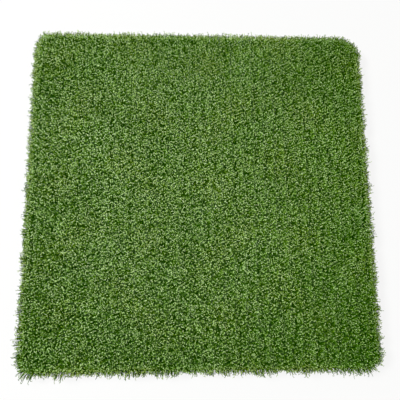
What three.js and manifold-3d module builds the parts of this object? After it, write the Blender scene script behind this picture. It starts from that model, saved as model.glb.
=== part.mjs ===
// A golf hitting mat: a square of curly tufted turf bonded to a foam pad.
//
// Millimetres, +Z up. The origin is the centre of the underside, where the mat rests on the floor.
// +Y runs along the tuft rows, away from the golfer's near edge, and +X runs across the rows.
//
// From the floor up, the mat is a foam base, an adhesive film, a latex coating, two plies of woven
// backing, and the tuft rows. Each row is one needle's yarn. It stands on the backing as a strip of
// pile, passes down through its stitch line as a neck, and is locked below by its back-stitch, which
// lies in the latex. The cured latex is what holds the yarn when a club drags across it.
import * as THREE from "three";
import { mergeVertices } from "three/addons/utils/BufferGeometryUtils.js";
import Module from "manifold-3d";

// Overall sizes of the cut sheet, without the pile that leans over its edges.
const MAT_WIDTH = 304.8;
const MAT_LENGTH = 304.8;

// Each corner is snipped by hand: where the snip leaves the two edges, along X and along Y, and how
// far it bulges towards the sharp corner, from 0 for a straight cut to 1 for none.
const FRONT_LEFT_SNIP = { along: [7, 9], bulge: 0.2 };
const FRONT_RIGHT_SNIP = { along: [10, 9], bulge: 0.3 };
const BACK_RIGHT_SNIP = { along: [20, 19], bulge: 0.55 };
const BACK_LEFT_SNIP = { along: [8, 17], bulge: 0.3 };

// Thickness of each layer.
const FOAM_THICKNESS = 5;
const FILM_THICKNESS = 0.25;
const LATEX_THICKNESS = 1.25;
const PLY_THICKNESS = 0.5;
const PILE_HEIGHT = 12;

// The tufting machine's needle spacing, and the strip of pile that each needle leaves.
const GAUGE = 9.525;
const ROW_GAP = 0.4;
const CROWN_SHOULDER = 1.5;
const PILE_OVERHANG = 3;
const PILE_EDGE_ROUND = 3;

// The yarn below the pile.
const NECK_WIDTH = 1.5;
const BACK_STITCH_WIDTH = 4;
const BACK_STITCH_THICKNESS = 0.75;
const STITCH_MARGIN = 4;

// Clearances: between bonded layers, under the pile, and around the yarn in the backing and latex.
const BOND_GAP = 0.0625;
const PILE_SEAT_GAP = 0.25;
const YARN_CLEARANCE = 0.25;

// How finely a snipped corner and a rounded edge are divided.
const CORNER_STEPS = 8;
const ROUND_STEPS = 3;

// Heights of the layers, from the floor up.
const FILM_BASE = FOAM_THICKNESS + BOND_GAP;
const LATEX_BASE = FILM_BASE + FILM_THICKNESS + BOND_GAP;
const LATEX_TOP = LATEX_BASE + LATEX_THICKNESS;
const LOWER_PLY_BASE = LATEX_TOP + BOND_GAP;
const UPPER_PLY_BASE = LOWER_PLY_BASE + PLY_THICKNESS + BOND_GAP;
const BACKING_TOP = UPPER_PLY_BASE + PLY_THICKNESS;
const PILE_BASE = BACKING_TOP + PILE_SEAT_GAP;
const PILE_TOP = PILE_BASE + PILE_HEIGHT;

const ROW_COUNT = Math.floor(MAT_WIDTH / GAUGE);
const STRIP_WIDTH = GAUGE - ROW_GAP;
const SLIT_WIDTH = NECK_WIDTH + 2 * YARN_CLEARANCE;
const GROOVE_WIDTH = BACK_STITCH_WIDTH + 2 * YARN_CLEARANCE;
const GROOVE_DEPTH = BACK_STITCH_THICKNESS + YARN_CLEARANCE;

const wasm = await Module();
wasm.setup();

const FINISHES = {
  yarn: { color: 0x4f7d2c, roughness: 0.55, metalness: 0 },
  backing: { color: 0x23301f, roughness: 0.85, metalness: 0 },
  latex: { color: 0x2a2b2a, roughness: 0.7, metalness: 0 },
  film: { color: 0xc9c5b4, roughness: 0.5, metalness: 0 },
  foam: { color: 0x1d1e1f, roughness: 0.9, metalness: 0 },
};

// A snipped corner as a Bezier curve's four points, in the order that runs anticlockwise round
// the sheet. The signs of side say which corner it is.
function snipCurve(side, snip, inset) {
  const x = side[0] * (MAT_WIDTH / 2 - inset);
  const y = side[1] * (MAT_LENGTH / 2 - inset);
  const sharp = new THREE.Vector2(x, y);
  const alongX = new THREE.Vector2(x - side[0] * (snip.along[0] - inset), y);
  const alongY = new THREE.Vector2(x, y - side[1] * (snip.along[1] - inset));
  const [start, end] = side[0] === side[1] ? [alongY, alongX] : [alongX, alongY];
  return [start, start.clone().lerp(sharp, snip.bulge), end.clone().lerp(sharp, snip.bulge), end];
}

// The outline of the sheet seen from above, moved inwards all round by the inset.
function sheetOutline(inset) {
  const corners = [
    snipCurve([-1, -1], FRONT_LEFT_SNIP, inset),
    snipCurve([1, -1], FRONT_RIGHT_SNIP, inset),
    snipCurve([1, 1], BACK_RIGHT_SNIP, inset),
    snipCurve([-1, 1], BACK_LEFT_SNIP, inset),
  ];
  const outline = new THREE.Shape();
  outline.moveTo(...corners.at(-1).at(-1));
  for (const [start, leaving, arriving, end] of corners) {
    outline.lineTo(...start);
    outline.bezierCurveTo(...leaving, ...arriving, ...end);
  }
  return outline;
}

// A closed geometry as a solid that can be joined and cut.
function solidOf(geometry) {
  const bare = geometry.index ? geometry.toNonIndexed() : geometry.clone();
  bare.deleteAttribute("normal");
  bare.deleteAttribute("uv");
  const merged = mergeVertices(bare);
  const vertProperties = merged.attributes.position.array;
  const triVerts = new Uint32Array(merged.index.array);
  return new wasm.Manifold(new wasm.Mesh({ numProp: 3, vertProperties, triVerts }));
}

function geometryOf(solid) {
  const { numProp, numVert, vertProperties, triVerts } = solid.getMesh();
  const places = new Float32Array(numVert * 3);
  for (let i = 0; i < numVert; i++) {
    places.set(vertProperties.subarray(i * numProp, i * numProp + 3), i * 3);
  }
  const geometry = new THREE.BufferGeometry();
  geometry.setAttribute("position", new THREE.BufferAttribute(places, 3));
  geometry.setIndex(new THREE.BufferAttribute(new Uint32Array(triVerts), 1));
  geometry.computeVertexNormals();
  return geometry;
}

// A flat layer of the sheet's outline that stands on z = 0.
function layer(inset, thickness) {
  return new THREE.ExtrudeGeometry(sheetOutline(inset), {
    depth: thickness,
    bevelEnabled: false,
    curveSegments: CORNER_STEPS,
  });
}

// A bar of rectangular section that runs along Y, past both ends of the mat.
function bar(x, width, base, height) {
  const length = MAT_LENGTH + 4 * PILE_OVERHANG;
  return new THREE.BoxGeometry(width, length, height).translate(x, 0, base + height / 2);
}

// The whole pile as one block: the sheet's outline at the backing, bulging past it above.
function pileBlock() {
  const block = new THREE.ExtrudeGeometry(sheetOutline(0), {
    depth: PILE_HEIGHT - 2 * PILE_EDGE_ROUND,
    bevelEnabled: true,
    bevelThickness: PILE_EDGE_ROUND,
    bevelSize: PILE_OVERHANG,
    bevelSegments: ROUND_STEPS,
    curveSegments: CORNER_STEPS,
  });
  return solidOf(block.translate(0, 0, PILE_BASE + PILE_EDGE_ROUND));
}

// One row's strip of pile before it is trimmed to the block: flat on top, with rounded shoulders.
function crownStrip(left, right) {
  const top = PILE_TOP - PILE_BASE;
  const section = new THREE.Shape();
  section.moveTo(left, 0);
  section.lineTo(right, 0);
  section.absarc(right - CROWN_SHOULDER, top - CROWN_SHOULDER, CROWN_SHOULDER, 0, Math.PI / 2);
  section.absarc(left + CROWN_SHOULDER, top - CROWN_SHOULDER, CROWN_SHOULDER, Math.PI / 2, Math.PI);
  section.closePath();
  const length = MAT_LENGTH + 4 * PILE_OVERHANG;
  const strip = new THREE.ExtrudeGeometry(section, {
    depth: length,
    bevelEnabled: false,
    curveSegments: ROUND_STEPS,
  });
  strip.rotateX(Math.PI / 2);
  return solidOf(strip.translate(0, length / 2, PILE_BASE));
}

function rowCentre(row) {
  return (row - (ROW_COUNT - 1) / 2) * GAUGE;
}

// The yarn below the pile: the neck through both plies, then the back-stitch under them.
function yarnBelow(row, stitchedArea) {
  const neckBase = LATEX_TOP - BACK_STITCH_THICKNESS / 2;
  const neck = bar(rowCentre(row), NECK_WIDTH, neckBase, PILE_BASE + PILE_EDGE_ROUND - neckBase);
  const backStitchBase = LATEX_TOP - BACK_STITCH_THICKNESS;
  const backStitch = bar(rowCentre(row), BACK_STITCH_WIDTH, backStitchBase, BACK_STITCH_THICKNESS);
  return solidOf(neck).add(solidOf(backStitch)).intersect(stitchedArea);
}

// A strip of pile, with the outermost rows taking in the pile that leans past the sheet's edge.
function tuftRow(row, block, stitchedArea) {
  const reach = STRIP_WIDTH / 2;
  const outer = GAUGE + PILE_OVERHANG;
  const left = rowCentre(row) - (row === 0 ? outer : reach);
  const right = rowCentre(row) + (row === ROW_COUNT - 1 ? outer : reach);
  const crown = crownStrip(left, right).intersect(block);
  return crown.add(yarnBelow(row, stitchedArea));
}

// The part of the sheet where the yarn is stitched, as a tall block, widened by a clearance.
function stitchArea(clearance) {
  return solidOf(layer(STITCH_MARGIN - clearance, PILE_TOP));
}

// The sheet less one slot under every row, which ends just past the row's last stitch.
function slotted(sheet, { width, base, height }) {
  const slottedArea = stitchArea(YARN_CLEARANCE);
  let made = sheet;
  for (let row = 0; row < ROW_COUNT; row++) {
    const slot = solidOf(bar(rowCentre(row), width, base, height));
    made = made.subtract(slot.intersect(slottedArea));
  }
  return made;
}

function piece(name, geometry, finish, base = 0) {
  const mesh = new THREE.Mesh(geometry, new THREE.MeshStandardMaterial(FINISHES[finish]));
  mesh.name = name;
  mesh.position.z = base;
  return mesh;
}

function backingPly(name, base) {
  const ply = solidOf(layer(0, PLY_THICKNESS));
  const slots = { width: SLIT_WIDTH, base: -PLY_THICKNESS, height: 3 * PLY_THICKNESS };
  return piece(name, geometryOf(slotted(ply, slots)), "backing", base);
}

function latexCoating() {
  const sheet = solidOf(layer(0, LATEX_THICKNESS));
  const grooveBase = LATEX_THICKNESS - GROOVE_DEPTH;
  const grooves = { width: GROOVE_WIDTH, base: grooveBase, height: LATEX_THICKNESS };
  return piece("latex_coating", geometryOf(slotted(sheet, grooves)), "latex", LATEX_BASE);
}

function pile() {
  const rows = new THREE.Group();
  const block = pileBlock();
  const stitchedArea = stitchArea(0);
  for (let row = 0; row < ROW_COUNT; row++) {
    const name = `tuft_row_${String(row + 1).padStart(2, "0")}`;
    rows.add(piece(name, geometryOf(tuftRow(row, block, stitchedArea)), "yarn"));
  }
  return rows;
}

function backing() {
  const sheets = new THREE.Group();
  sheets.add(piece("foam_base", layer(0, FOAM_THICKNESS), "foam"));
  sheets.add(piece("adhesive_film", layer(0, FILM_THICKNESS), "film", FILM_BASE));
  sheets.add(latexCoating());
  sheets.add(backingPly("lower_backing_ply", LOWER_PLY_BASE));
  sheets.add(backingPly("upper_backing_ply", UPPER_PLY_BASE));
  return sheets;
}

const mat = new THREE.Group();
mat.add(backing(), pile());

export default mat;
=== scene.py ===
"""A golf hitting mat: curly tufted turf on a woven backing, latex and a foam cushion.

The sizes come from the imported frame, in metres, with +Z up and +Y along the tuft rows.
"""

from math import pi

import bmesh
import bpy
import numpy as np
from bpy.props import FloatProperty, FloatVectorProperty, IntProperty, PointerProperty
from bpy.types import Operator, Panel, PropertyGroup
from mathutils import Euler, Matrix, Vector


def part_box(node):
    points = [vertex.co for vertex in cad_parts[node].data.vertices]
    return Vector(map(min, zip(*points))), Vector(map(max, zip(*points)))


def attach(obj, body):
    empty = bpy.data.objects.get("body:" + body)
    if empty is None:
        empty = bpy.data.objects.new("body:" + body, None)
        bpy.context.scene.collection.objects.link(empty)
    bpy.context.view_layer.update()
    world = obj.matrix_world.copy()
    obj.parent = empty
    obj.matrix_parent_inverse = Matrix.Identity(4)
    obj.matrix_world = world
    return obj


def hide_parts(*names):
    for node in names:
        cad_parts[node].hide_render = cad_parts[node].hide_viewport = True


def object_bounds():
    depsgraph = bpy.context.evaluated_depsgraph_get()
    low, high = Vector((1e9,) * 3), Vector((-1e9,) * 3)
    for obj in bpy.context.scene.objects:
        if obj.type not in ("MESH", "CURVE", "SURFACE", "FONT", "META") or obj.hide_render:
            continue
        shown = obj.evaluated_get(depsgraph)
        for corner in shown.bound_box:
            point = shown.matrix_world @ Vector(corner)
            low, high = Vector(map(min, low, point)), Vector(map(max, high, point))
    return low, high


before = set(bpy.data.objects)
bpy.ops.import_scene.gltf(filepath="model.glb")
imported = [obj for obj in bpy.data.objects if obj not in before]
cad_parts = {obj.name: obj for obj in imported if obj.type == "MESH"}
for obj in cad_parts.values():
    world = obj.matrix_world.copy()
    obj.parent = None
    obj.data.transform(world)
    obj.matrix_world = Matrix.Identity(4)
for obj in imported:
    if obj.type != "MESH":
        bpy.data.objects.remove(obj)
CAD_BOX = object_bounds()

bl_info = {
    "name": "Golf Hitting Mat",
    "version": (1, 0, 0),
    "blender": (4, 5, 0),
    "location": "3D View > Sidebar > Hitting Mat",
    "description": "Builds a golf hitting mat of curly tufted turf on a foam cushion",
    "category": "Add Mesh",
}

MM = 0.001
PLIES = ("lower_backing_ply", "upper_backing_ply")
ROWS = sorted(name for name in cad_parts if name.startswith("tuft_row_"))
ROWS_IN_A_BAND = 2

# The map on which each strand of yarn has a cell of its own. It is counted in steps: so many to its
# side, from one ring of a strand to the next, and round the edge of a cell.
MAP_NAME = "OFBake"
MAP_STEPS = 1024
MAP_RING_STEPS = 3
MAP_MARGIN = 1

# Steps that spread any number of points evenly over a unit square, from the number g with
# g**3 = g + 1.
EVEN_NUMBER = 1.324717957244746
EVEN_STEPS = (1 / EVEN_NUMBER, 1 / EVEN_NUMBER**2)

# The pale studio as it is seen, and how much of that the sky lights the mat with.
BACKDROP = (0.968, 0.968, 0.962)
SKY_LIGHT = 0.18


# ---------------------------------------------------------------- settings


class YarnSettings(PropertyGroup):
    """The curled yarn of the pile."""

    width: FloatProperty(
        name="Width", description="Width of one strand", default=0.40 * MM, unit="LENGTH"
    )
    thickness: FloatProperty(
        name="Thickness", description="Thickness of one strand", default=0.32 * MM, unit="LENGTH"
    )
    stitch: FloatProperty(
        name="Stitch",
        description="From one tuft to the next along a row",
        default=6.6 * MM,
        unit="LENGTH",
    )
    spacing: FloatProperty(
        name="Spacing",
        description="From one strand to the next at the top",
        default=0.98 * MM,
        unit="LENGTH",
    )
    overhang: FloatProperty(
        name="Overhang",
        description="How far the pile leans out past the cut edge",
        default=2.4 * MM,
        unit="LENGTH",
    )
    droop: FloatProperty(
        name="Droop",
        description="How far strands fall at the cut edge",
        default=7.0 * MM,
        unit="LENGTH",
    )
    fringe: FloatProperty(
        name="Fringe",
        description="How far the loosest strands stick out",
        default=3.9 * MM,
        unit="LENGTH",
    )
    unevenness: FloatProperty(
        name="Unevenness",
        description="How far strands end below the top",
        default=1.2 * MM,
        unit="LENGTH",
    )
    crimp: FloatProperty(
        name="Crimp", description="Length of one wave of a curl", default=2.4 * MM, unit="LENGTH"
    )
    curl: FloatProperty(
        name="Curl", description="How far a curl swings from its mean line", default=1.2, min=0
    )
    sway: FloatProperty(
        name="Sway", description="Sideways share of a curl's swing", default=1.0, min=0
    )
    seed: IntProperty(name="Seed", description="Picks where the strands fall", default=11)


class ColourSettings(PropertyGroup):
    """The colours of the mat's materials."""

    yarn: FloatVectorProperty(
        name="Yarn",
        description="Middle green of the yarn",
        subtype="COLOR",
        default=(0.225, 0.50, 0.012),
    )
    cool: FloatVectorProperty(
        name="Cool yarn",
        description="Bluest green of the yarn",
        subtype="COLOR",
        default=(0.172, 0.48, 0.045),
    )
    warm: FloatVectorProperty(
        name="Warm yarn",
        description="Yellowest green of the yarn",
        subtype="COLOR",
        default=(0.40, 0.50, 0.010),
    )
    # The pale green of the yarn's ends is partly wear and partly a painted highlight on the pile's top.
    worn_lit_tip: FloatVectorProperty(
        name="Worn tips",
        description="Pale green of the yarn's worn ends",
        subtype="COLOR",
        default=(0.76, 1.0, 0.50),
    )
    # This dark green is painted shade down in the pile: the yarn's own colour is no darker there.
    root: FloatVectorProperty(
        name="Root",
        description="Deep green of the yarn near the backing",
        subtype="COLOR",
        default=(0.014, 0.090, 0.0),
    )
    backing: FloatVectorProperty(
        name="Backing",
        description="Woven cloth under the pile",
        subtype="COLOR",
        default=(0.020, 0.070, 0.002),
    )
    latex: FloatVectorProperty(
        name="Latex", description="Cured coating", subtype="COLOR", default=(0.035, 0.038, 0.035)
    )
    film: FloatVectorProperty(
        name="Film", description="Adhesive film", subtype="COLOR", default=(0.50, 0.46, 0.36)
    )
    foam: FloatVectorProperty(
        name="Foam", description="Foam cushion", subtype="COLOR", default=(0.022, 0.022, 0.024)
    )


class MatSettings(PropertyGroup):
    """Everything about the mat that a user would change."""

    yarn: PointerProperty(type=YarnSettings)
    colours: PointerProperty(type=ColourSettings)


# ---------------------------------------------------------------- shader maths


class Value:
    """A number in a shader: arithmetic on it adds Math nodes."""

    def __init__(self, socket):
        self.socket = socket

    def math(self, operation, *terms, clamp=False):
        tree = self.socket.node.id_data
        node = tree.nodes.new("ShaderNodeMath")
        node.operation = operation
        node.use_clamp = clamp
        for slot, term in zip(node.inputs, terms):
            if isinstance(term, Value):
                tree.links.new(term.socket, slot)
            else:
                slot.default_value = term
        return Value(node.outputs[0])

    def __add__(self, other):
        return self.math("ADD", self, other)

    def __sub__(self, other):
        return self.math("SUBTRACT", self, other)

    def __rsub__(self, other):
        return self.math("SUBTRACT", other, self)

    def __mul__(self, other):
        return self.math("MULTIPLY", self, other)

    def __pow__(self, other):
        return self.math("POWER", self, other)

    def __abs__(self):
        return self.math("ABSOLUTE", self)

    def sine(self):
        return self.math("SINE", self)

    def clamped(self):
        return self.math("ADD", self, 0.0, clamp=True)

    __radd__ = __add__
    __rmul__ = __mul__


class Finish:
    """One material under construction, with a Principled shader at its end."""

    def __init__(self, name):
        self.material = bpy.data.materials.new(name)
        self.material.use_nodes = True
        self.tree = self.material.node_tree
        self.shader = self.tree.nodes["Principled BSDF"]

    def node(self, kind, settings=(), **sockets):
        """Adds a node: its settings first, then its sockets' values or links, by identifier."""
        made = self.tree.nodes.new(kind)
        for key, value in dict(settings).items():
            setattr(made, key, value)
        by_name = {slot.identifier: slot for slot in made.inputs}
        for key, value in sockets.items():
            self.feed(by_name[key], value)
        return made

    def feed(self, slot, value):
        if isinstance(value, Value):
            value = value.socket
        if isinstance(value, bpy.types.NodeSocket):
            self.tree.links.new(value, slot)
        else:
            slot.default_value = value

    def mixed(self, share, first, second):
        """A colour between two others."""
        settings = {"data_type": "RGBA"}
        made = self.node("ShaderNodeMix", settings, Factor_Float=share, A_Color=first, B_Color=second)
        return next(slot for slot in made.outputs if slot.identifier == "Result_Color")

    def attribute(self, name):
        return Value(self.node("ShaderNodeAttribute", {"attribute_name": name}).outputs["Fac"])

    def places(self):
        """Where a point lies on the piece, in metres."""
        return self.node("ShaderNodeTexCoord").outputs["Object"]

    def noise(self, grain, detail=2.0):
        """Smooth noise with features about one grain wide, from 0 to 1."""
        made = self.node("ShaderNodeTexNoise", Vector=self.places(), Scale=1 / grain, Detail=detail)
        return Value(made.outputs["Fac"])

    def cells(self, grain):
        """The distance to the nearest of scattered points about one grain apart."""
        made = self.node("ShaderNodeTexVoronoi", Vector=self.places(), Scale=1 / grain)
        return Value(made.outputs["Distance"])

    def finish(self, colour, roughness, bump=None, depth=0.0, **plain):
        """Connects what changes over the surface, and sets what doesn't."""
        self.feed(self.shader.inputs["Base Color"], colour)
        self.feed(self.shader.inputs["Roughness"], roughness)
        for key, value in plain.items():
            self.shader.inputs[key.replace("_", " ")].default_value = value
        if bump is not None:
            made = self.node("ShaderNodeBump", Height=bump, Distance=depth)
            self.feed(self.shader.inputs["Normal"], made.outputs["Normal"])
        return self.material


def rgba(colour, factor=1.0):
    """A colour for a socket, made lighter or darker by the factor."""
    return (*(min(1.0, channel * factor) for channel in colour), 1.0)


# ---------------------------------------------------------------- materials

# The yarn is made paler above this share of the pile's height, by wear and a painted highlight on
# the pile's top, and painted shade darkens it down from just past its top.
WORN_AND_LIT_ABOVE = 0.86
SHADE_PAINTED_BELOW = 1.05

# How fast the wear with its painted highlight and the painted shade set in there, how much painted
# shade the yarn has to begin with, how much of that the lightest strands are spared, and how
# mottled each strand is along its length.
WEAR_AND_HIGHLIGHT_RATE = 10
PAINTED_SHADE_RATE = 4.2
FIRST_PAINTED_SHADE = 0.36
SPARED_PAINTED_SHADE = 1.2
MOTTLE = 3.0

# Width of one flat tape in the backing's weave.
TAPE_WIDTH = 1.6 * MM


def yarn_material(colours):
    """Nylon yarn: each strand its own green, painted shade down in the pile, wear and a painted
    highlight on top.
    """
    made = Finish("yarn")
    hue = made.attribute("hue")
    shade = made.attribute("shade")
    rise = made.attribute("rise")
    cool = made.mixed((hue * -1).clamped(), rgba(colours.yarn), rgba(colours.cool))
    green = made.mixed(hue.clamped(), cool, rgba(colours.warm))
    tone = shade + (made.noise(0.6 * MM, detail=1.0) - 0.5) * MOTTLE
    # Wear and a painted highlight make the yarn paler near the pile's top.
    worn_and_lit = ((rise - WORN_AND_LIT_ABOVE) * WEAR_AND_HIGHLIGHT_RATE * tone).clamped()
    worn_lit_green = made.mixed(worn_and_lit, green, rgba(colours.worn_lit_tip))
    # Painted shade darkens the yarn down in the pile, towards the root colour; the lightest strands get
    # less.
    painted_shade = ((SHADE_PAINTED_BELOW - rise) * PAINTED_SHADE_RATE + FIRST_PAINTED_SHADE - tone * SPARED_PAINTED_SHADE).clamped()
    colour = made.mixed(painted_shade, worn_lit_green, rgba(colours.root))
    return made.finish(colour, 0.6, Specular_IOR_Level=0.0)


def backing_material(colour):
    """Plain weave of flat tapes, their crowns painted lighter as if lit."""
    made = Finish("woven_backing")
    parts = made.node("ShaderNodeSeparateXYZ", Vector=made.places())
    across = Value(parts.outputs["X"]) * (pi / TAPE_WIDTH)
    along = Value(parts.outputs["Y"]) * (pi / TAPE_WIDTH)
    crown = abs(across.sine() * along.sine()) ** 0.5
    height = crown + made.noise(0.35 * MM) * 0.3
    # The tapes' crowns are painted lighter as light falls on them, and coarse noise mottles the cloth.
    lit = (crown * 0.7 + made.noise(4 * MM) * 0.3).clamped()
    woven = made.mixed(lit, rgba(colour), rgba(colour, 2.4))
    return made.finish(woven, 0.9 - crown * 0.25, bump=height, depth=0.25 * MM)


def latex_material(colour):
    """Cured latex, mottled by its filler, with small pinholes."""
    made = Finish("latex")
    mottle = made.noise(3 * MM, detail=4.0)
    height = mottle * 0.6 + made.cells(0.9 * MM) * 0.6
    mottled = made.mixed(mottle, rgba(colour), rgba(colour, 1.9))
    return made.finish(mottled, 0.5 + mottle * 0.25, bump=height, depth=0.15 * MM)


def film_material(colour):
    """Hot-melt film: milky, and uneven where it was pressed."""
    made = Finish("adhesive")
    uneven = made.noise(2.2 * MM, detail=3.0)
    milky = made.mixed(uneven, rgba(colour, 0.6), rgba(colour))
    return made.finish(milky, 0.35 + uneven * 0.3, bump=uneven, depth=0.1 * MM)


def foam_material(colour):
    """Closed-cell foam: fine cells cut open, with the odd larger one, painted darker in their hollows.
    """
    made = Finish("foam")
    cells = made.cells(0.55 * MM) * 0.8 + made.cells(1.7 * MM) * 0.4
    # The cut cells are painted darker in their hollows and lighter on their rims, as shade and light;
    # slow noise mottles the foam.
    lit = (cells * 0.9 + made.noise(9 * MM) * 0.25).clamped()
    cut = made.mixed(lit, rgba(colour), rgba(colour, 2.6))
    return made.finish(cut, 0.95 - cells * 0.2, bump=cells, depth=0.3 * MM)


# ---------------------------------------------------------------- the cut sheet


def sheet_outline():
    """The cut sheet's corners in order, anticlockwise from above."""
    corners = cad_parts["foam_base"].data.vertices
    points = np.array(sorted({(round(v.co.x, 6), round(v.co.y, 6)) for v in corners}))
    low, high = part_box("foam_base")
    from_centre = points - ((low + high) / 2)[:2]
    return points[np.argsort(np.arctan2(from_centre[:, 1], from_centre[:, 0]))]


def outward_normals(outline):
    """Which way is out from each side of the outline."""
    along = np.roll(outline, -1, axis=0) - outline
    along /= np.linalg.norm(along, axis=1)[:, None]
    return np.stack([along[:, 1], -along[:, 0]], axis=1)


def outside_by(points, outline, normals):
    """How far each point lies outside the sheet, negative within it, and which way is out."""
    reach = points @ normals.T - np.sum(outline * normals, axis=1)
    nearest = np.argmax(reach, axis=1)
    return reach[np.arange(len(points)), nearest], normals[nearest]


def around(outline, step):
    """Points about one step apart round the outline, each with its outward direction."""
    found = []
    for start, end in zip(outline, np.roll(outline, -1, axis=0)):
        count = max(1, round(np.linalg.norm(end - start) / step))
        found.extend(start + (end - start) * k / count for k in range(count))
    points = np.array(found)
    ahead = np.roll(points, -1, axis=0) - np.roll(points, 1, axis=0)
    ahead /= np.linalg.norm(ahead, axis=1)[:, None]
    return points, np.stack([ahead[:, 1], -ahead[:, 0]], axis=1)


def knife_wobble(count, depth, rng):
    """How far a hand-held knife strayed at each of a closed line's points."""
    turn = np.linspace(0, 2 * pi, count, endpoint=False)
    waves = range(3, 60, 3)
    wander = sum(np.sin(wave * turn + rng.uniform(0, 2 * pi)) / wave**0.6 for wave in waves)
    return depth * wander / np.abs(wander).max()


# ---------------------------------------------------------------- the yarn

# How far the strands stray from an even spread, as a share of their spacing, how far inside the edge
# that spread ends, and what share of its strands swap between tall and short.
STRAY = 0.40
SPREAD_MARGIN = 0.3 * MM
SWAPPED_HEIGHTS = 0.2

# How many times closer the strands stand along the cut edge, and how far they stray in and out
# there, as shares of the overhang.
EDGE_DENSITY = 4.5
EDGE_STRAY = (-1.8, 1.0)

# How far a strand's root strays within its tuft, across and along the row.
ROOT_STRAY = (0.5 * MM, 0.8 * MM)

# How far in from the pile's edge its strands lean outwards, what share of the full fall they have
# there, and how much longer their curls are.
LEAN_ZONE = 7 * MM
FALLS = (0.1, 1.0)
LEANING_CURL = 0.4

# How far inside the sheet the roots stay, how far the tallest strands end below the row's top, and by
# how many millimetres more that depth strays.
ROOT_MARGIN = 1.0 * MM
CROWN_DEPTH = 0.9 * MM
DEPTH_STRAY = 0.6

# Curls are bent back by this share where they come nearer to the row's top, and wholly where they come
# nearer to the floor past the cut edge.
TOP_MARGIN = 0.3 * MM
BENT_BACK = 0.8
FLOOR_MARGIN = 2.0 * MM

# The length over which a rising strand turns over, and the share of it that lies below the crown.
BEND_LENGTH = 1.6 * MM
BEND_START = 0.7

# The lengths of yarn past the turn, in millimetres, and how steeply they fall or climb.
CURL_LENGTHS = (1.1, 2.0)
CURL_SLOPES = (-0.4, 0.1)

# How far the waves of one strand stray from the settings, as shares of their length and swing, how
# far its lift runs ahead of its sway, in radians, and the share of its swing that it has low down.
CRIMP_SHARES = (0.75, 1.3)
SWING_SHARES = (0.6, 1.35)
LIFT_LEADS = (-0.6, 0.6)
LOW_SWING = 0.45

# Points along a strand while its curls are worked out, and the few that are kept.
FINE_STEPS = 64
RISE_STEPS = 1
CURL_STEPS = 4

# The width left at a strand's end.
END_TAPER = 0.7

# Where the pile is lightest and most varied, how far from there that has faded, and how far the
# loose corner reaches.
PALE_MIDDLE = (-40 * MM, 20 * MM)
PALE_REACH = 200 * MM
LOOSE_CORNER_REACH = 25 * MM

# How light the tall and the short strands are, and the lightness that all come nearer to away from
# the lightest middle, from 0 to 1. The tall strands' extra lightness is painted light on the pile's
# top, and the short strands' darkness is painted shade lower in it.
TALL_SHADE = 0.95
SHORT_SHADE = 0.2
OUTER_SHADE = 0.31

# Strands that fall and lean out at the edge stand in the open, so they take less of the painted
# shade of the pile's depth and keep more of the painted highlight of its top: this share of the
# fall, and then of the depth, isn't counted as depth in the pile. A strand that leans is darker by
# the last share.
FALL_KEPT_PALE = 0.8
LEAN_KEPT_PALE = 0.4
LEAN_SHADE = 0.4


def unit(vectors):
    """The same directions, each of length one."""
    return vectors / np.maximum(np.linalg.norm(vectors, axis=-1, keepdims=True), 1e-12)


def direction(angle, slope):
    """A direction at an angle round the vertical, tilted up or down by a slope."""
    return unit(np.stack([np.cos(angle), np.sin(angle), np.broadcast_to(slope, angle.shape)], axis=-1))


def row_gauge():
    """The spacing of the rows, from two inner ones."""
    first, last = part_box(ROWS[1]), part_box(ROWS[-2])
    return (sum(last, Vector()).x - sum(first, Vector()).x) / 2 / (len(ROWS) - 3)


def row_centre(row):
    """Where a row's stitch line lies across the mat."""
    return (ROWS.index(row) - (len(ROWS) - 1) / 2) * row_gauge()


def strand_heads(yarn, outline, rng):
    """Where the strands reach the top of the pile, spread evenly over the sheet and its overhang.

    Also which of them are tall, and how much wider than the sheet they spread.
    """
    low, high = outline.min(axis=0), outline.max(axis=0)
    size = high - low
    grow = 1 + 2 * yarn.overhang / size.max()
    number = np.arange(int(size.prod() * grow**2 / yarn.spacing**2))
    share = (number[:, None] * EVEN_STEPS + 0.5) % 1
    heads = (low + high) / 2 + (share - 0.5) * size * grow
    heads += rng.normal(0, STRAY, heads.shape) * yarn.spacing
    depth, _ = outside_by(heads / grow, outline, outward_normals(outline))
    within = depth < -SPREAD_MARGIN
    tall = (number % 2 == 0) ^ (rng.random(len(number)) < SWAPPED_HEIGHTS)

    # The cut edge is lined with strands of its own, so that the pile closes over it.
    line, out = around(outline, yarn.spacing / EDGE_DENSITY)
    edge = line + out * rng.uniform(*EDGE_STRAY, (len(line), 1)) * yarn.overhang
    edge_tall = rng.random(len(edge)) < 0.5
    return np.concatenate([heads[within], edge]), np.concatenate([tall[within], edge_tall]), grow


def strand_roots(row, heads, yarn, rng):
    """The tuft that each strand comes up from: the nearest one along its row."""
    shift = 0.5 * (ROWS.index(row) % 2)
    along = (np.round(heads[:, 1] / yarn.stitch - shift) + shift) * yarn.stitch
    across = np.full(len(heads), row_centre(row))
    return np.stack([across, along], axis=1) + rng.normal(0, 1, heads.shape) * ROOT_STRAY


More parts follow.
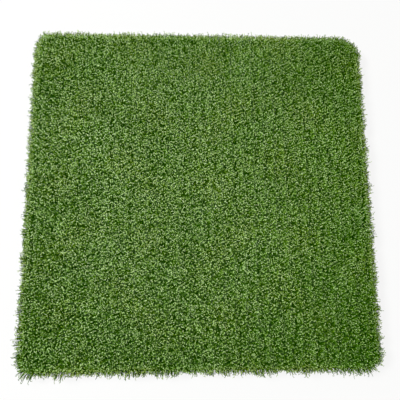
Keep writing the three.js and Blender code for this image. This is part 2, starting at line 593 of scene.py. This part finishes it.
def curled_lines(start, crown, over, crown_length, yarn, rng):
    """Lines that rise from start to crown, then curl over that way, in waves all along."""
    count = len(start)
    rise = crown - start
    rise_length = np.linalg.norm(rise, axis=1)
    whole = rise_length + crown_length
    distance = np.linspace(0, 1, FINE_STEPS)[None] * whole[:, None]
    bend = np.clip((distance - rise_length[:, None]) / BEND_LENGTH + BEND_START, 0, 1)
    bend = bend * bend * (3 - 2 * bend)
    mean = unit(unit(rise)[:, None] * (1 - bend[..., None]) + over[:, None] * bend[..., None])
    across = unit(np.cross(over, (0, 0, 1.0)))
    upward = unit(np.cross(across, over))
    wave = 2 * pi / (yarn.crimp * rng.uniform(*CRIMP_SHARES, count))
    turn = wave[:, None] * distance + rng.uniform(0, 2 * pi, count)[:, None]
    swing = (yarn.curl * rng.uniform(*SWING_SHARES, count))[:, None]
    swing = swing * (LOW_SWING + (1 - LOW_SWING) * bend)
    aside = np.cos(turn) * swing * yarn.sway
    lift = np.sin(turn + rng.uniform(*LIFT_LEADS, count)[:, None]) * swing
    heading = unit(mean + aside[..., None] * across[:, None] + lift[..., None] * upward[:, None])
    stride = np.diff(distance, axis=1)[..., None]
    line = np.zeros_like(heading)
    line[:, 1:] = np.cumsum((heading[:, 1:] + heading[:, :-1]) / 2 * stride, axis=1)
    line += start[:, None]

    # The waves shorten the way up, so the whole line is stretched until it meets the crown.
    strand = np.arange(count)
    at_crown = np.argmin(np.abs(distance - rise_length[:, None]), axis=1)
    way_up = np.clip(distance / rise_length[:, None], 0, 1)
    line += (crown - line[strand, at_crown])[:, None] * way_up[..., None]

    # Of all the fine points, a strand keeps those at a few places along it.
    low_part = rise_length[:, None] * np.linspace(0, 1, RISE_STEPS + 1)[None, :-1]
    high_part = rise_length[:, None] + crown_length[:, None] * np.linspace(0, 1, CURL_STEPS)[None]
    place = np.concatenate([low_part, high_part], axis=1) / whole[:, None] * (FINE_STEPS - 1)
    before = np.clip(place.astype(int), 0, FINE_STEPS - 2)
    past = (place - before)[..., None]
    strand = strand[:, None]
    return line[strand, before] * (1 - past) + line[strand, before + 1] * past


def strand_lines(row, heads, tall, yarn, outline, rng):
    """The centre lines of one row's strands as (strand, point, xyz), and what colours them.

    That is each strand's hue and shade, how far it falls at the cut edge and how much it leans.
    """
    normals = outward_normals(outline)
    roots = strand_roots(row, heads, yarn, rng)
    count = len(heads)
    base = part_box("upper_backing_ply")[1].z
    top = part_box(row)[1].z

    # At the mat's edge the pile has no neighbour to lean on, so it falls outwards.
    depth, out = outside_by(heads, outline, normals)
    depth -= yarn.overhang
    lean = np.clip(1 + depth / LEAN_ZONE, 0, 1)
    loose = looseness(heads, out, outline.min(axis=0)) * yarn.fringe
    reach = rng.uniform(0, 1, count) ** 4 * loose + edge_waver(heads, out)
    heads = heads + out * (lean**2 * reach)[:, None]
    roots += (heads - roots) * np.minimum(1, 1.6 * lean)[:, None]
    root_depth, root_out = outside_by(roots, outline, normals)
    roots -= np.maximum(0, root_depth + ROOT_MARGIN)[:, None] * root_out
    stray = rng.uniform(0.0, DEPTH_STRAY, count) * MM
    height = top - CROWN_DEPTH - stray - np.where(tall, 0, yarn.unevenness)
    drop = lean**1.5 * rng.uniform(*FALLS, count) * yarn.droop
    height -= drop

    start = np.column_stack([roots, np.full(count, base)])
    crown = np.column_stack([heads, height])
    over = direction(rng.uniform(-pi, pi, count), rng.uniform(*CURL_SLOPES, count))
    over = unit(over + np.column_stack([out, np.full(count, -0.5)]) * (lean * 0.35)[:, None])
    crown_length = rng.uniform(*CURL_LENGTHS, count) * (1 + LEANING_CURL * lean) * MM
    points = curled_lines(start, crown, over, crown_length, yarn, rng)

    # Nothing rises out of the pile's top, and nothing falls into the backing under it.
    points[..., 2] -= np.maximum(0, points[..., 2] - (top - TOP_MARGIN)) * BENT_BACK
    flat = points[..., :2].reshape(-1, 2)
    beyond = outside_by(flat, outline, normals)[0].reshape(count, -1) > -0.5 * MM
    points[..., 2] = np.maximum(points[..., 2], np.where(beyond, FLOOR_MARGIN, base))
    points[:, 0] = start
    return points, *strand_colours(heads, tall, lean, rng), drop, lean


def strand_colours(heads, tall, lean, rng):
    """How yellow each strand's green is, from -1 to 1, and how light it is: its own tone, painted light
    on the tall strands and painted shade on the short ones.
    """
    count = len(heads)
    hue = np.clip(patches(heads) * 0.2 + lean * 0.9 + rng.normal(0, 0.1, count), -1, 1)
    shade = np.clip(np.where(tall, TALL_SHADE, SHORT_SHADE) + rng.normal(0, 0.25, count), 0, 1.3)
    shade += patches(heads * 0.6) * 0.08 + patches(heads * 2.3) * 0.07
    shade = OUTER_SHADE + (shade - OUTER_SHADE) * middle_share(heads)
    return hue, shade * (1 - LEAN_SHADE * lean)


def edge_waver(spots, out):
    """How far the pile's edge strays outwards, in lumps a few tufts wide, and most along the front."""
    lumps = patches(spots * 1.7) * 1.2 + patches(spots * 5) * 0.9 + 0.3
    return lumps * (1.1 - 0.65 * out[:, 1]) * MM


def looseness(spots, out, corner):
    """How freely the edge strands stick out: most along the front, and at its left corner."""
    away = np.linalg.norm(spots - corner, axis=1)
    return 0.65 + 0.3 * np.maximum(0, -out[:, 1]) + 0.7 * np.exp(-((away / LOOSE_CORNER_REACH) ** 2))


def middle_share(spots):
    """How much of its spread of lightness the pile keeps at each place: all near the middle, less away
    from it.
    """
    away = np.linalg.norm(spots - PALE_MIDDLE, axis=1)
    return 1 - 0.58 * np.clip(away / PALE_REACH, 0, 1.2) ** 2


def patches(spots):
    """Slow drifts over the mat, from -1 to 1, each a few centimetres across."""
    x, y = spots[:, 0] / MM, spots[:, 1] / MM
    drift = np.sin(x / 11 + 1.3 * np.sin(y / 17)) + np.sin(y / 9.5 + 1.7 * np.sin(x / 23 + 2))
    return drift / 2


def strand_tubes(points, width, thickness, rng):
    """Closed strands with three sides round the centre lines: vertices, side faces and end faces."""
    count, rings = points.shape[:2]
    ahead = unit(np.gradient(points, axis=1))
    flat = np.empty_like(points)
    flat[:, 0] = unit(np.cross(ahead[:, 0], unit(rng.normal(size=(count, 3)))))
    for ring in range(1, rings):
        carried = flat[:, ring - 1]
        across = carried - ahead[:, ring] * np.sum(carried * ahead[:, ring], axis=1)[:, None]
        flat[:, ring] = unit(across)
    edge = np.cross(ahead, flat)
    taper = np.ones(rings)
    taper[-1] = END_TAPER
    wide = (width * rng.uniform(0.8, 1.2, count))[:, None, None] * taper[None, :, None]
    thick = (thickness * rng.uniform(0.8, 1.2, count))[:, None, None] * taper[None, :, None]
    corners = np.stack(
        [
            points - flat * wide / 2 - edge * thick / 3,
            points + flat * wide / 2 - edge * thick / 3,
            points + edge * thick * 2 / 3,
        ],
        axis=2,
    )
    ring_at = (np.arange(rings - 1) * 3)[:, None]
    one = np.arange(3)[None]
    two = (one + 1) % 3
    sides = np.stack([ring_at + one, ring_at + two, ring_at + 3 + two, ring_at + 3 + one], axis=-1)
    ends = np.array([[2, 1, 0], [3 * rings - 3, 3 * rings - 2, 3 * rings - 1]])
    first = (np.arange(count) * 3 * rings)[:, None, None]
    quads = (first + sides.reshape(-1, 4)).reshape(-1, 4)
    return corners.reshape(-1, 3), quads, (first + ends).reshape(-1, 3)


def strand_map(count, rings):
    """Each strand's own cell on the map: its three corners side by side, and its rings up the cell."""
    cell_height = MAP_RING_STEPS * rings
    down = MAP_STEPS // cell_height
    across = -(-count // down)
    cell_width = MAP_STEPS / across
    strand = np.arange(count)
    left = (strand // down) * cell_width + MAP_MARGIN
    foot = (strand % down) * cell_height + MAP_MARGIN
    u = left[:, None, None] + np.array([0, 1, 0.5])[None, None] * (cell_width - 2 * MAP_MARGIN)
    v = foot[:, None, None] + np.arange(rings)[None, :, None] * MAP_RING_STEPS

    # The middle corner of each end stands past the other two, which gives the end faces some area.
    peak = np.zeros((rings, 3))
    peak[0, 2] = -0.8
    peak[-1, 2] = 1.2
    u = np.broadcast_to(u, (count, rings, 3))
    v = np.broadcast_to(v, (count, rings, 3)) + peak[None]
    return np.stack([u, v], axis=-1).reshape(-1, 2) / MAP_STEPS


def mesh_from(name, vertices, quads, triangles):
    """A mesh from arrays of vertices, four-sided faces and three-sided faces."""
    mesh = bpy.data.meshes.new(name)
    corners = np.concatenate([quads.ravel(), triangles.ravel()])
    starts = np.concatenate([np.arange(len(quads)) * 4, len(quads) * 4 + np.arange(len(triangles)) * 3])
    mesh.vertices.add(len(vertices))
    mesh.vertices.foreach_set("co", vertices.astype(np.float32).ravel())
    mesh.loops.add(len(corners))
    mesh.loops.foreach_set("vertex_index", corners.astype(np.int32))
    mesh.polygons.add(len(starts))
    mesh.polygons.foreach_set("loop_start", starts.astype(np.int32))
    mesh.update(calc_edges=True)
    mesh.shade_flat()
    return mesh


def give(mesh, name, values):
    """Stores a value at each vertex, for the material to read."""
    layer = mesh.attributes.new(name, "FLOAT", "POINT")
    layer.data.foreach_set("value", values.astype(np.float32).ravel())


def put(name, mesh, material, nodes):
    """Puts a piece in the scene in place of its CAD nodes."""
    piece = bpy.data.objects.new(name, mesh)
    bpy.context.scene.collection.objects.link(piece)
    mesh.materials.append(material)
    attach(piece, "root")
    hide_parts(*nodes)
    return piece


class MAT_OT_pile(Operator):
    """Makes the pile, as bands of two tuft rows, with one row in the band at each side"""

    bl_idname = "mat.pile"
    bl_label = "Pile"

    def execute(self, context):
        settings = context.scene.mat
        outline = sheet_outline()
        material = yarn_material(settings.colours)
        rng = np.random.default_rng(settings.yarn.seed)
        heads, tall, grow = strand_heads(settings.yarn, outline, rng)
        place = np.round(heads[:, 0] / grow / row_gauge() + (len(ROWS) - 1) / 2)
        place = np.clip(place.astype(int), 0, len(ROWS) - 1)
        starts = [0, *range(1, len(ROWS), ROWS_IN_A_BAND), len(ROWS)]
        for first, last in zip(starts, starts[1:]):
            rows = ROWS[first:last]
            chosen = [place == ROWS.index(row) for row in rows]
            parts = [(row, heads[mine], tall[mine]) for row, mine in zip(rows, chosen)]
            self.band(parts, settings.yarn, outline, material, rng)
        return {"FINISHED"}

    def band(self, parts, yarn, outline, material, rng):
        """One mesh of some rows' strands, from each row's name, heads and which of them are tall."""
        rows = [part[0] for part in parts]
        made = [strand_lines(*part, yarn, outline, rng) for part in parts]
        points, hue, shade, drop, lean = (np.concatenate(values) for values in zip(*made))
        count, rings = points.shape[:2]
        vertices, quads, triangles = strand_tubes(points, yarn.width, yarn.thickness, rng)
        name = "tufts_" + rows[0].removeprefix("tuft_") + "_to_" + rows[-1].removeprefix("tuft_row_")
        mesh = mesh_from(name, vertices, quads, triangles)
        layer = mesh.uv_layers.new(name=MAP_NAME)
        corner = np.empty(len(mesh.loops), np.int32)
        mesh.loops.foreach_get("vertex_index", corner)
        layer.uv.foreach_set("vector", strand_map(count, rings)[corner].astype(np.float32).ravel())
        give(mesh, "hue", np.repeat(hue, rings * 3))
        give(mesh, "shade", np.repeat(shade, rings * 3))
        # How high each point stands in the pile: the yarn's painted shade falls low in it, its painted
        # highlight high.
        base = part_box("upper_backing_ply")[1].z
        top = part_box(rows[0])[1].z
        sunk = (top - vertices[:, 2] - FALL_KEPT_PALE * np.repeat(drop, rings * 3)) / (top - base)
        give(mesh, "rise", 1 - sunk * (1 - LEAN_KEPT_PALE * np.repeat(lean, rings * 3)))
        put(name, mesh, material, rows)


# ---------------------------------------------------------------- backing and cushion

# How far the knife strayed in the foam, how much the open cells roughen its cut, and the distance
# between the points that follow it.
KNIFE_STRAY = 0.3 * MM
CELL_ROUGHNESS = 0.05 * MM
CUT_STEP = 1.2 * MM

# How far the backing's tapes end short of the cut or stand out past it, in millimetres.
FRAYED = (-0.5, 0.25)


def slab(name, outline, layers):
    """A closed slab from rings of (outward shift, height), with level faces at the first and last."""
    points, out = outline
    shape = bmesh.new()
    rings = []
    for shift, height in layers:
        spots = points + out * np.reshape(shift, (-1, 1))
        heights = np.broadcast_to(height, len(points))
        rings.append([shape.verts.new((x, y, z)) for (x, y), z in zip(spots, heights)])
    for lower, upper in zip(rings, rings[1:]):
        for k in range(len(points)):
            after = (k + 1) % len(points)
            shape.faces.new((lower[k], lower[after], upper[after], upper[k]))
    shape.faces.new(rings[0][::-1])
    shape.faces.new(rings[-1])
    mesh = bpy.data.meshes.new(name)
    shape.to_mesh(mesh)
    shape.free()
    return mesh


class MAT_OT_cushion(Operator):
    """Makes the foam cushion, with its knife-cut sides"""

    bl_idname = "mat.cushion"
    bl_label = "Foam Cushion"

    def execute(self, context):
        settings = context.scene.mat
        rng = np.random.default_rng(settings.yarn.seed + 1)
        low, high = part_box("foam_base")
        line = around(sheet_outline(), CUT_STEP)
        wobble = knife_wobble(len(line[0]), KNIFE_STRAY, rng) - KNIFE_STRAY
        thick = high.z - low.z

        def rough():
            return wobble + rng.normal(0, CELL_ROUGHNESS, len(wobble))

        # From a soft lower lip up past a shallow hollow in the cut to a sharper upper lip.
        layers = [
            (wobble - 0.7 * MM, low.z),
            (rough() - 0.15 * MM, low.z + 0.25 * MM),
            (rough(), low.z + 0.9 * MM),
            (rough() - 0.1 * MM, low.z + 0.35 * thick),
            (rough() - 0.18 * MM, low.z + 0.6 * thick),
            (rough() - 0.08 * MM, high.z - 0.8 * MM),
            (rough(), high.z - 0.2 * MM),
            (wobble - 0.3 * MM, high.z),
        ]
        mesh = slab("foam_cushion", line, layers)
        piece = put("foam_cushion", mesh, foam_material(settings.colours.foam), ["foam_base"])
        return {"FINISHED"}


class MAT_OT_backing(Operator):
    """Makes the two plies of woven backing, with the cut ends of their tapes"""

    bl_idname = "mat.backing"
    bl_label = "Woven Backing"

    def execute(self, context):
        settings = context.scene.mat
        rng = np.random.default_rng(settings.yarn.seed + 2)
        material = backing_material(settings.colours.backing)
        line = around(sheet_outline(), TAPE_WIDTH / 2)
        for node in PLIES:
            low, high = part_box(node)
            frayed = rng.uniform(*FRAYED, len(line[0])) * MM
            layers = [(frayed, low.z), (frayed, high.z)]
            mesh = slab("woven_" + node, line, layers)
            piece = put("woven_" + node, mesh, material, [node])
        return {"FINISHED"}


class MAT_OT_bonding(Operator):
    """Gives the latex coating and the adhesive film their finish"""

    bl_idname = "mat.bonding"
    bl_label = "Latex and Film"

    def execute(self, context):
        colours = context.scene.mat.colours
        self.coat("latex_coating", latex_material(colours.latex))
        self.coat("adhesive_film", film_material(colours.film))
        return {"FINISHED"}

    def coat(self, node, material):
        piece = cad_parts[node]
        for slot in piece.material_slots:
            slot.link = "OBJECT"
            slot.material = material


# ---------------------------------------------------------------- stage

# The floor's side, its drop that keeps it clear of the foam's underside, its colour, and how much
# of what is seen of it glows, so that the rest keeps the mat's shadow.
FLOOR_SIDE = 12.0
FLOOR_DROP = 0.02 * MM
FLOOR_COLOUR = (0.90, 0.90, 0.90)
FLOOR_GLOW = 0.90

# The camera's lens and tilt, and its place along its own axes, in widths of the mat, from a point
# this high over the mat's middle.
LENS = 44.2
CAMERA_TILT = (0.1932, -0.0453, 0.0004)
CAMERA_PLACE = (-0.0015, -0.0190, 1.4197)
AIM_HEIGHT = 15 * MM


def seen_directly(tree):
    """One for rays from the camera or off a gloss, and none for the rays that light the mat."""
    path = tree.nodes.new("ShaderNodeLightPath").outputs
    kinds = ("Is Camera Ray", "Is Glossy Ray", "Is Transmission Ray")
    camera, glossy, transmission = (Value(path[kind]) for kind in kinds)
    return (camera + glossy + transmission).clamped()


def stage_material(name, colour, glow):
    """A pale matte surface that also shows bright where it's seen directly or in a reflection."""
    made = Finish(name)
    made.finish(rgba(colour), 0.9, Specular_IOR_Level=0.1)
    glowing = made.node("ShaderNodeEmission", Color=rgba(BACKDROP), Strength=1.0)
    mix = made.node("ShaderNodeMixShader", Fac=seen_directly(made.tree) * glow)
    made.tree.links.new(made.shader.outputs["BSDF"], mix.inputs[1])
    made.tree.links.new(glowing.outputs["Emission"], mix.inputs[2])
    out = made.tree.nodes["Material Output"]
    made.tree.links.new(mix.outputs[0], out.inputs["Surface"])
    return made.material


def softbox(name, place, side, power):
    """A square lamp that faces the middle of the mat."""
    data = bpy.data.lights.new(name, "AREA")
    data.shape = "SQUARE"
    data.size = side
    data.energy = power
    lamp = bpy.data.objects.new(name, data)
    lamp.location = place
    lamp.rotation_euler = (-lamp.location).to_track_quat("-Z", "Y").to_euler()
    bpy.context.scene.collection.objects.link(lamp)


class MAT_OT_stage(Operator):
    """Makes the floor, the soft lights and the camera"""

    bl_idname = "mat.stage"
    bl_label = "Stage"

    def execute(self, context):
        self.floor()
        self.lights(context.scene)
        self.camera(context.scene)
        context.scene.view_settings.view_transform = "Standard"
        return {"FINISHED"}

    def floor(self):
        underside = CAD_BOX[0][2]
        bpy.ops.mesh.primitive_plane_add(size=FLOOR_SIDE, location=(0, 0, underside - FLOOR_DROP))
        floor = bpy.context.active_object
        floor.name = "studio_floor"
        floor.data.materials.append(stage_material("studio_floor", FLOOR_COLOUR, FLOOR_GLOW))

    def lights(self, scene):
        world = bpy.data.worlds.new("studio")
        world.use_nodes = True
        sky = world.node_tree.nodes["Background"]
        sky.inputs["Color"].default_value = rgba(BACKDROP)
        strength = SKY_LIGHT + seen_directly(world.node_tree) * (1 - SKY_LIGHT)
        world.node_tree.links.new(strength.socket, sky.inputs["Strength"])
        scene.world = world
        softbox("key_light", place=(-0.75, 0.15, 1.1), side=0.35, power=23.4)
        softbox("fill_light", place=(0.9, -0.7, 1.3), side=1.0, power=3.0)

    def camera(self, scene):
        """Looks down on the mat from a little in front of it."""
        data = bpy.data.cameras.new("camera")
        data.lens = LENS
        data.sensor_width = 36.0
        data.clip_start = 0.01
        camera = bpy.data.objects.new("camera", data)
        tilt = Euler(CAMERA_TILT, "YXZ")
        mat_width = CAD_BOX[1][0] - CAD_BOX[0][0]
        camera.rotation_mode = "YXZ"
        camera.rotation_euler = tilt
        from_mat = tilt.to_matrix() @ Vector(CAMERA_PLACE) * mat_width
        camera.location = from_mat + Vector((0, 0, AIM_HEIGHT))
        scene.collection.objects.link(camera)
        scene.camera = camera


# ---------------------------------------------------------------- panel and registration


OPERATORS = (MAT_OT_stage, MAT_OT_cushion, MAT_OT_bonding, MAT_OT_backing, MAT_OT_pile)


class MAT_PT_panel(Panel):
    """Lists the mat's settings and the steps that build it"""

    bl_idname = "MAT_PT_panel"
    bl_label = "Hitting Mat"
    bl_space_type = "VIEW_3D"
    bl_region_type = "UI"
    bl_category = "Hitting Mat"

    def draw(self, context):
        settings = context.scene.mat
        for group in (settings.yarn, settings.colours):
            box = self.layout.box()
            for name in group.__annotations__:
                box.prop(group, name)
        for operator in OPERATORS:
            self.layout.operator(operator.bl_idname)


CLASSES = (YarnSettings, ColourSettings, MatSettings, *OPERATORS, MAT_PT_panel)


def register():
    for cls in CLASSES:
        bpy.utils.register_class(cls)
    bpy.types.Scene.mat = PointerProperty(type=MatSettings)


def unregister():
    del bpy.types.Scene.mat
    for cls in reversed(CLASSES):
        bpy.utils.unregister_class(cls)


def main():
    register()
    bpy.ops.mat.stage()
    bpy.ops.mat.cushion()
    bpy.ops.mat.bonding()
    bpy.ops.mat.backing()
    bpy.ops.mat.pile()


if __name__ == "__main__":
    main()
